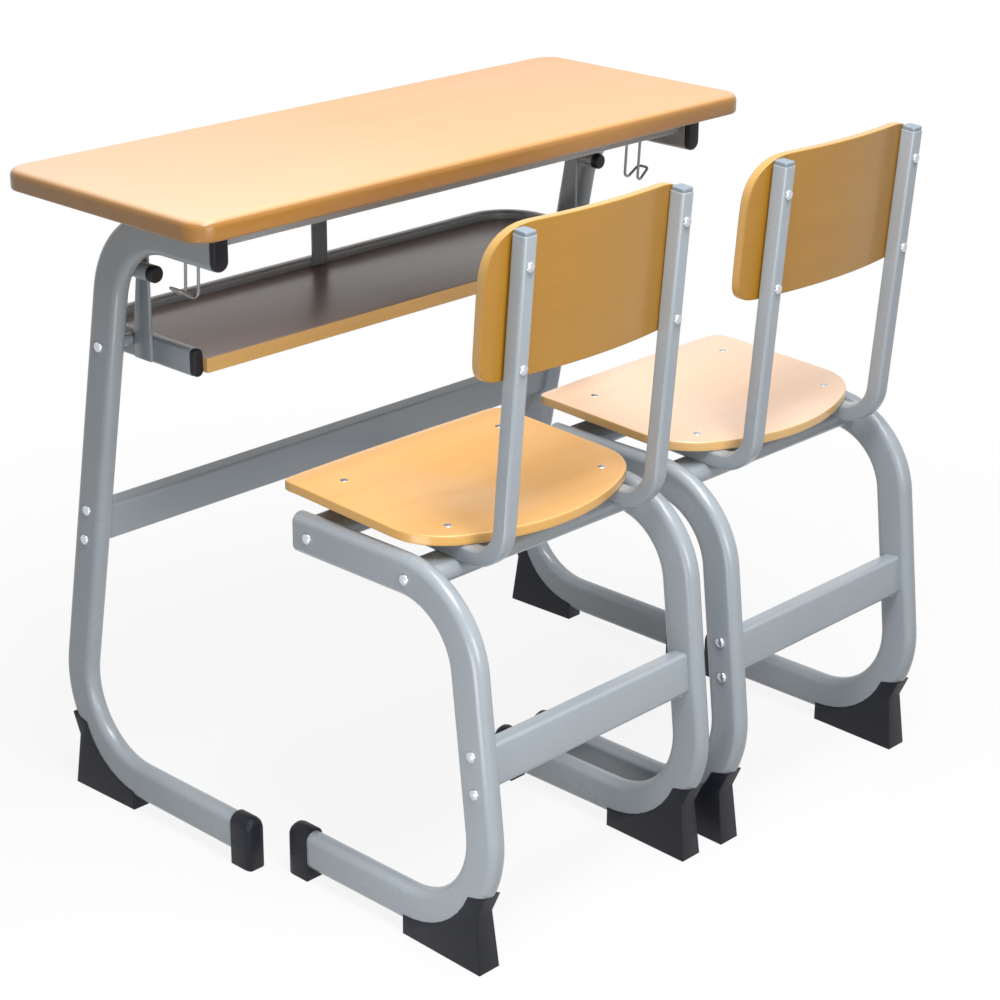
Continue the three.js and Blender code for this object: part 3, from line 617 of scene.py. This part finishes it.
for side, _ in SIDES:
    for label, rounding, dome in SQUARE_PLUGS:
        low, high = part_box(f"{label}_{side}")
        front_plug(f"{label}_{side}", high.x - low.x, rounding, dome)
    label, share, dome = ROUND_PLUG
    low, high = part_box(f"{label}_{side}")
    front_plug(f"{label}_{side}", high.z - low.z, (high.z - low.z) * share, dome)


# Rails, stretcher and tray carriers

STRETCHER_TALL = 0.049
STRETCHER_ROUND = 0.005
RAIL_TALL = 0.022
RAIL_THIN = 0.018
RAIL_ROUND = 0.002
STUB_SOFTNESS = 0.0008


def along_x(name, wide, tall, rounding, lean=0.0):
    low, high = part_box(name)
    centre = middle(name)
    ends = [Vector((x, centre.y, centre.z)) for x in (low.x, high.x)]
    across = Vector((0, math.cos(lean), math.sin(lean)))
    bar = bent_bar(ends, [], across, wide, tall, rounding)
    smooth(bar)
    return place_piece(bar, name + "_bar", PAINT, [name])


def leg_lean(top_corner, foot_corner):
    return math.atan2(foot_corner[0] - top_corner[0], top_corner[1] - foot_corner[1])


DESK_LEAN = leg_lean(DESK_TOP_CORNER, DESK_FOOT_CORNER)
CHAIR_LEAN = leg_lean(CHAIR_TOP_CORNER, CHAIR_FOOT_CORNER)
along_x("top_rail_front", RAIL_THIN, RAIL_TALL, RAIL_ROUND)
along_x("top_rail_rear", RAIL_THIN, RAIL_TALL, RAIL_ROUND)
along_x("stretcher", TUBE_THIN, STRETCHER_TALL, STRETCHER_ROUND, DESK_LEAN)
for chair in CHAIRS:
    along_x(chair + "_cross_rail", TUBE_THIN, STRETCHER_TALL, STRETCHER_ROUND, CHAIR_LEAN)

for side, _ in SIDES:
    name = f"tray_carrier_{side}"
    low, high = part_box(name)
    centre = middle(name)
    stub = round_bar((centre.x, low.y, centre.z), (centre.x, high.y, centre.z), high.z - low.z)
    soften(stub, STUB_SOFTNESS)
    smooth(stub)
    place_piece(stub, name + "_stub", PAINT, [name])
    for name in (f"tray_hanger_{side}", f"tray_spacer_{side}"):
        moulded(name, PAINT, PLATE_SOFTNESS, segments=2)
moulded("tray_centre_strip", PAINT, STRIP_SOFTNESS, segments=2)


# Book tray

TRAY_TUBE_THIN = 0.014
TRAY_TUBE_ROUND = 0.005
TRAY_TUBE_BEND = 0.062
TRAY_CORNER = 0.0547
TRAY_CORNER_STEPS = 16
TRAY_SOFTNESS = 0.0012


def tray_frame():
    low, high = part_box("tray_frame")
    x = high.x - TRAY_TUBE_THIN / 2
    rear = high.y - TRAY_TUBE_THIN / 2
    z = middle("tray_frame").z
    line = [(-x, low.y, z), (-x, rear, z), (x, rear, z), (x, low.y, z)]
    bends = [TRAY_TUBE_BEND, TRAY_TUBE_BEND]
    bar = bent_bar(line, bends, X_AXIS, TRAY_TUBE_THIN, high.z - low.z, TRAY_TUBE_ROUND, section_steps=5)
    smooth(bar)
    return place_piece(bar, "tray_frame_tube", PAINT, ["tray_frame"])


def tray_board():
    low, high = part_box("tray_board")
    centre = middle("tray_board")
    place = Vector((centre.x, centre.y, high.z))
    board = outline(place, X_AXIS, Z_AXIS, high.x - low.x, high.y - low.y, 0, 0)
    select_where(board, "VERT", lambda co: co.y > centre.y)
    bpy.ops.mesh.bevel(offset=TRAY_CORNER, segments=TRAY_CORNER_STEPS, affect="VERTICES")
    bpy.ops.mesh.select_all(action="SELECT")
    extrude((0, 0, low.z - high.z))
    tidy_shell()
    close_edit()
    soften(board, TRAY_SOFTNESS)
    smooth(board)
    return place_piece(board, "tray_board_panel", TRAY, ["tray_board"])


tray_frame()
tray_board()


# Desktop

TOP_CORNER = 0.030
TOP_CORNER_STEPS = 14
TOP_ROLL = 0.009
TOP_ROLL_STEPS = 10
UNDER_ROLL = 0.003
UNDER_ROLL_STEPS = 4
TOP_INSET = 0.002
FLAT = 0.99


def desktop():
    low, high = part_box("desktop")
    centre = middle("desktop")
    place = Vector((centre.x, centre.y, high.z))
    board = outline(place, X_AXIS, Z_AXIS, high.x - low.x, high.y - low.y, TOP_CORNER, TOP_CORNER_STEPS)
    extrude((0, 0, low.z - high.z))
    select_where(board, "EDGE", lambda co: abs(co.z - high.z) < MERGE)
    bpy.ops.mesh.bevel(offset=TOP_ROLL, segments=TOP_ROLL_STEPS, affect="EDGES")
    select_where(board, "EDGE", lambda co: abs(co.z - low.z) < MERGE)
    bpy.ops.mesh.bevel(offset=UNDER_ROLL, segments=UNDER_ROLL_STEPS, affect="EDGES")
    for z in (low.z, high.z):
        def flat_at_z(face):
            return abs(face.center.z - z) < MERGE and abs(face.normal.z) > FLAT
        select_where(board, "FACE", flat_at_z)
        bpy.ops.mesh.inset(thickness=TOP_INSET)
    tidy_shell()
    close_edit()
    smooth(board)
    return place_piece(board, "desktop_board", TOP, ["desktop"])


desktop()


# Seats and backrests

SEAT_ROUNDING = 0.0057
BACK_ROUNDING = 0.0026
SKIN_FACING = 0.35
RIM_START = 0.02
RIM_FADE = 0.1
QUAD_ANGLE = math.radians(40)


def curved_board(name, rounding, split):
    """A smooth copy of a curved board. split tells the faces of its first skin from its second."""
    piece = merged_copy(name, dissolve=0)
    mesh = piece.data
    level = mesh.attributes.new("level", "FLOAT", "POINT")
    mesh.attributes.new("rim", "FLOAT", "POINT")
    for face in mesh.polygons:
        for index in face.vertices:
            if split(face.normal) > SKIN_FACING:
                level.data[index].value = 1.0
    choose(piece)
    open_edit()
    bpy.ops.mesh.tris_convert_to_quads(face_threshold=QUAD_ANGLE, shape_threshold=QUAD_ANGLE)
    close_edit()
    soften(piece, rounding, segments=4, angle=55)
    modify(piece, "SUBSURF", levels=2, render_levels=2)
    mesh = piece.data
    values = [0.0] * len(mesh.vertices)
    mesh.attributes["level"].data.foreach_get("value", values)
    for index, value in enumerate(values):
        inside = min(value, 1.0 - value)
        mesh.attributes["rim"].data[index].value = min(max((inside - RIM_START) / RIM_FADE, 0.0), 1.0)
    smooth(piece, angle=60)
    return piece


for chair in CHAIRS:
    seat = curved_board(chair + "_seat", SEAT_ROUNDING, lambda normal: normal.z)
    place_piece(seat, chair + "_seat_board", SEATS[chair], [chair + "_seat"])
    back = curved_board(chair + "_backrest", BACK_ROUNDING, lambda normal: normal.y)
    place_piece(back, chair + "_backrest_board", BACK_PAINTED_SHADE, [chair + "_backrest"])


# Seat carriers: two bent posts on two cross bars

POST_HALF = 0.1205
POST_WIDE = 0.019
POST_THIN = 0.020
POST_ROUND = 0.004
POST_BEND = 0.044
POST_LEAN = 0.073
SEAT_SLOPE = 0.045
RAIL_MIDDLE = 0.4527
HEEL = -0.475
RAIL_FRONT = -0.208
POST_TOP = 0.818
POST_SECTION_STEPS = 6
POST_BEND_STEPS = 18
POST_END_SOFTNESS = 0.0012
POST_CAP_WIDE = 0.0170
POST_CAP_THIN = 0.0180
POST_CAP_ROUND = 0.0030
POST_CAP_LENGTH = 0.0041
POST_CAP_DOME = 0.0011
BAR_MIDDLE = 0.4318
BAR_PLACES = (-0.245, -0.398)


def seat_rise(y):
    return SEAT_SLOPE * (y - HEEL)


def post_y(z):
    return HEEL - POST_LEAN * (z - RAIL_MIDDLE)


def seat_carrier(chair):
    name = chair + "_seat_carrier"
    low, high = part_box(name)
    origin = CHAIR_MIDDLES[chair]
    parts = []
    for _, sign in SIDES:
        x = sign * POST_HALF
        line = [(x, RAIL_FRONT, RAIL_MIDDLE + seat_rise(RAIL_FRONT)), (x, HEEL, RAIL_MIDDLE),
                (x, post_y(POST_TOP), POST_TOP)]
        post = bent_bar([origin + Vector(p) for p in line], [POST_BEND], X_AXIS,
                        POST_WIDE, POST_THIN, POST_ROUND, POST_SECTION_STEPS, POST_BEND_STEPS)
        soften(post, POST_END_SOFTNESS)
        parts.append(post)
    for y in BAR_PLACES:
        z = BAR_MIDDLE + seat_rise(y)
        ends = [Vector((x, origin.y + y, z)) for x in (low.x, high.x)]
        parts.append(bent_bar(ends, [], Y_AXIS, TUBE_WIDE, TUBE_THIN, TUBE_ROUND, TUBE_SECTION_STEPS))
    carrier = joined(parts)
    smooth(carrier)
    return place_piece(carrier, name + "_posts", PAINT, [name])


for chair in CHAIRS:
    seat_carrier(chair)
    for side, sign in SIDES:
        name = f"{chair}_post_cap_{side}"
        lean = Vector((0, -POST_LEAN, 1)).normalized()
        start = CHAIR_MIDDLES[chair] + Vector((sign * POST_HALF, post_y(POST_TOP), POST_TOP)) + lean * GAP
        cap = plug(start, X_AXIS, lean, POST_CAP_WIDE, POST_CAP_THIN, POST_CAP_ROUND,
                   POST_CAP_LENGTH, POST_CAP_DOME)
        place_piece(cap, name + "_plug", GREY, [name])


# Bolts and screws

HEAD_SIDES = 28
DOME_STEPS = 4
DOME_STEPS_TO_TOP = 4.35
FIRST_DOME_SHARE = 0.93
UPWARD = 0.9

# Places on a chair, from the middle of the desktop: names, then Y and Z, or Z, or Y
CHAIR_BOLTS = (("arm_front", -0.241, 0.4350), ("arm_rear", -0.393, 0.4330),
               ("leg_upper", -0.4925, 0.260), ("leg_lower", -0.4975, 0.217))
BACK_BOLTS = (("upper", 0.786), ("lower", 0.677))
SEAT_SCREWS = (("front", -0.236), ("rear", -0.397))
SCREW_HALF = 0.123
SEAT_TOP = 0.475
SCREW_SINK = 0.0004


def domed_head(radius, rise, rim, shank_radius, shank_length):
    """A button head facing +Z with its seat at the origin, on a plain shank."""
    bpy.ops.object.select_all(action="DESELECT")
    place = (0, 0, rim / 2)
    bpy.ops.mesh.primitive_cylinder_add(vertices=HEAD_SIDES, radius=radius, depth=rim, location=place)
    piece = bpy.context.object
    settle()
    open_edit()
    height = rim
    width = radius
    for step in range(1, DOME_STEPS + 1):
        def top_face(face):
            return face.normal.z > UPWARD and face.center.z > height - MERGE
        select_where(piece, "FACE", top_face)
        angle = step / DOME_STEPS_TO_TOP * math.pi / 2
        new_width = radius * math.cos(angle) if step > 1 else radius * FIRST_DOME_SHARE
        new_height = rim + (rise - rim) * math.sin(angle)
        bpy.ops.mesh.inset(thickness=width - new_width)
        bpy.ops.transform.translate(value=(0, 0, new_height - height))
        height = new_height
        width = new_width
    select_where(piece, "FACE", lambda face: face.normal.z < -UPWARD)
    bpy.ops.mesh.inset(thickness=radius - shank_radius)
    extrude((0, 0, -shank_length))
    tidy_shell()
    close_edit()
    smooth(piece, angle=40)
    return piece


def turned_to(piece, place, way):
    """A copy of a fastener moved to place and facing way."""
    other = piece.copy()
    other.data = piece.data.copy()
    turn = Z_AXIS.rotation_difference(Vector(way)).to_matrix().to_4x4()
    other.data.transform(Matrix.Translation(place) @ turn)
    bpy.context.scene.collection.objects.link(other)
    return other


def fasten(pattern, place, way, name, nodes=()):
    place_piece(turned_to(pattern, place, way), name, ZINC, nodes)


bolt = domed_head(radius=0.0065, rise=0.0045, rim=0.0012, shank_radius=0.004, shank_length=0.030)
small_bolt = domed_head(radius=0.0058, rise=0.0038, rim=0.0011, shank_radius=0.003, shank_length=0.012)
screw = domed_head(radius=0.0048, rise=0.0012, rim=0.0003, shank_radius=0.0022, shank_length=0.008)

for side, sign in SIDES:
    face_x = middle(f"desk_frame_{side}").x + sign * TUBE_THIN / 2
    for name in (f"stretcher_bolt_{side}_lower", f"stretcher_bolt_{side}_upper", f"tray_bolt_{side}"):
        place = Vector((face_x, middle(name).y, middle(name).z))
        fasten(bolt, place, X_AXIS * sign, name + "_head", [name])

for chair in CHAIRS:
    origin = CHAIR_MIDDLES[chair]
    for side, sign in SIDES:
        face_x = middle(f"{chair}_frame_{side}").x + sign * TUBE_THIN / 2
        for label, y, z in CHAIR_BOLTS:
            place = Vector((face_x, origin.y + y, z))
            fasten(bolt, place, X_AXIS * sign, f"{chair}_{label}_bolt_{side}")
        back_way = Vector((0, -1, -POST_LEAN)).normalized()
        for label, z in BACK_BOLTS:
            place = origin + Vector((sign * POST_HALF, post_y(z), z)) + back_way * POST_THIN / 2
            fasten(small_bolt, place, back_way, f"{chair}_back_bolt_{side}_{label}")
        for label, y in SEAT_SCREWS:
            place = origin + Vector((sign * SCREW_HALF, y, SEAT_TOP + seat_rise(y) - SCREW_SINK))
            fasten(screw, place, Vector((0, -SEAT_SLOPE, 1)), f"{chair}_seat_screw_{side}_{label}")
for pattern in (bolt, small_bolt, screw):
    bpy.data.objects.remove(pattern)


# Bag hooks

HOOK_WIRE = 0.0036
HOOK_WIRE_ROUND = HOOK_WIRE * 0.499
HOOK_INSET = 0.0135
HOOK_BEHIND = 0.060
HOOK_HALF = 0.011
HOOK_TIP_HALF = 0.0085
HOOK_DROP = 0.097
HOOK_REACH = 0.0245
HOOK_LIP = 0.017
HOOK_LEAN = 0.005
HOOK_BENDS = [0.006, 0.005, 0.005, 0.006]
HOOK_PLATE = (0.020, 0.041, 0.0025)
HOOK_PLATE_CORNER = 0.0036
HOOK_PLATE_SOFTNESS = 0.0005


def bag_hook(side, sign):
    """One wire bent to two legs and a raised lip, hung from a small plate."""
    name = f"bag_hook_{side}"
    plate_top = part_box(name)[1].z
    plate_wide, plate_long, plate_thin = HOOK_PLATE
    wire_x = middle(f"desk_frame_{side}").x - sign * (TUBE_THIN / 2 + HOOK_INSET)
    centre_y = DESK_Y - HOOK_BEHIND
    top = plate_top - plate_thin
    tip = HOOK_LIP - HOOK_DROP
    line = [(0, HOOK_HALF, 0), (0, HOOK_HALF + HOOK_LEAN, -HOOK_DROP),
            (HOOK_REACH, HOOK_TIP_HALF + HOOK_LEAN, tip), (HOOK_REACH, HOOK_LEAN - HOOK_TIP_HALF, tip),
            (0, HOOK_LEAN - HOOK_HALF, -HOOK_DROP), (0, -HOOK_HALF, 0)]
    points = [Vector((wire_x + sign * x, centre_y + y, top + z)) for x, y, z in line]
    wire = bent_bar(points, HOOK_BENDS, X_AXIS, HOOK_WIRE, HOOK_WIRE, HOOK_WIRE_ROUND,
                    section_steps=4, bend_steps=8)
    plate_place = Vector((wire_x, centre_y, plate_top))
    plate = outline(plate_place, X_AXIS, Z_AXIS, plate_wide, plate_long, HOOK_PLATE_CORNER, steps=5)
    extrude((0, 0, -plate_thin))
    tidy_shell()
    close_edit()
    soften(plate, HOOK_PLATE_SOFTNESS, segments=2)
    hook = joined([wire, plate])
    smooth(hook)
    return place_piece(hook, name + "_wire", WIRE, [name])


for side, sign in SIDES:
    bag_hook(side, sign)


# Floor, light and camera

NEAR_WHITE = 0.88
BOUNCE = (0.26, 0.26, 0.26, 1)
FLOOR_LIGHT = (0.87, 0.87, 0.87, 1)
FLOOR_DARK = (0.83, 0.83, 0.83, 1)
FLOOR_GRAIN = 90.0
FLOOR_SIZE = 40
FADE_FROM = 0.45
FADE_TO = 1.5
WHITE = (1, 1, 1, 1)
AMBIENT = 0.10

# Name, place, target, size and power of each lamp
LAMPS = (
    ("overhead", (0.1, -0.6, 3.0), (0, 0, 0.4), 1.5, 49),
    ("front", (-0.75, -1.1, 2.3), (0.0, -0.1, 0.3), 0.8, 31),
    ("chair_fill", (-0.62, -1.5, 0.7), (-0.1, -0.3, 0.4), 0.6, 7.5),
    ("floor_fill", (-1.0, -0.4, 0.12), (-0.42, -0.1, 0.06), 0.4, 2.8),
)

# Camera fitted to the photograph's view
AZIMUTH = math.radians(-46.69)
PITCH = math.radians(21.73)
ROLL = math.radians(0.58)
CAMERA_PLACE = (-2.01705, -1.91511, 1.46612)
CAMERA_LENS = 88.2
CAMERA_SENSOR = 36
CAMERA_SHIFT = -0.0100


def seen_directly(tree):
    """One for the rays of the camera, of mirrors and of glass, and nought for scattered light."""
    rays = node(tree, "ShaderNodeLightPath").outputs
    seen = calc(tree, "MAXIMUM", rays["Is Camera Ray"], rays["Is Glossy Ray"])
    return calc(tree, "MAXIMUM", seen, rays["Is Transmission Ray"])


def floor_material():
    """Pale floor that keeps the shadow near the set and fades to plain white far out."""
    material = bpy.data.materials.new("pale_floor")
    material.use_nodes = True
    tree = material.node_tree
    tree.nodes.clear()
    place = node(tree, "ShaderNodeTexCoord").outputs["Object"]
    grain = noise(tree, place, FLOOR_GRAIN, 2.0)
    tone = blend_colour(tree, remap(tree, grain, 0.3, 0.7), FLOOR_DARK, FLOOR_LIGHT)
    white = node(tree, "ShaderNodeEmission", {"Color": WHITE, "Strength": 1.0})
    distance = node(tree, "ShaderNodeVectorMath", {0: place}, operation="LENGTH").outputs["Value"]
    far = remap(tree, distance, FADE_FROM, FADE_TO, NEAR_WHITE, 1.0)
    seen = seen_directly(tree)
    matt = node(tree, "ShaderNodeBsdfDiffuse", {"Color": blend_colour(tree, seen, BOUNCE, tone)})
    share = calc(tree, "MULTIPLY", far, seen)
    mixed = node(tree, "ShaderNodeMixShader", {0: share, 1: matt.outputs[0], 2: white.outputs[0]})
    node(tree, "ShaderNodeOutputMaterial", {"Surface": mixed.outputs[0]})
    return material


bpy.ops.object.select_all(action="DESELECT")
bpy.ops.mesh.primitive_plane_add(size=FLOOR_SIZE, location=(0, 0, 0))
floor = bpy.context.object
floor.name = "floor"
floor.data.materials.append(floor_material())
floor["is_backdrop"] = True

scene = bpy.context.scene
scene.view_settings.view_transform = "Standard"

world = bpy.data.worlds.new("studio")
scene.world = world
world.use_nodes = True
sky = world.node_tree
sky.nodes.clear()
level = remap(sky, seen_directly(sky), 0.0, 1.0, AMBIENT, 1.0)
backdrop = node(sky, "ShaderNodeBackground", {"Color": WHITE, "Strength": level})
node(sky, "ShaderNodeOutputWorld", {"Surface": backdrop.outputs[0]})


def soft_lamp(name, place, target, size, power):
    lamp = bpy.data.lights.new(name, "AREA")
    lamp.shape = "SQUARE"
    lamp.size = size
    lamp.energy = power
    holder = bpy.data.objects.new(name, lamp)
    holder.location = place
    holder.rotation_euler = (Vector(target) - Vector(place)).to_track_quat("-Z", "Y").to_euler()
    scene.collection.objects.link(holder)


for lamp_settings in LAMPS:
    soft_lamp(*lamp_settings)

back = Vector((math.sin(AZIMUTH) * math.cos(PITCH), -math.cos(AZIMUTH) * math.cos(PITCH), math.sin(PITCH)))
right = Vector((math.cos(AZIMUTH), math.sin(AZIMUTH), 0))
over = back.cross(right)
camera_right = right * math.cos(ROLL) + over * math.sin(ROLL)
camera_up = over * math.cos(ROLL) - right * math.sin(ROLL)
camera_data = bpy.data.cameras.new("camera")
camera_data.sensor_width = CAMERA_SENSOR
camera_data.lens = CAMERA_LENS
camera_data.shift_x = CAMERA_SHIFT
camera = bpy.data.objects.new("camera", camera_data)
scene.collection.objects.link(camera)
turn = Matrix((camera_right, camera_up, back)).transposed().to_4x4()
camera.matrix_world = Matrix.Translation(CAMERA_PLACE) @ turn
scene.camera = camera

low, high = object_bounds()
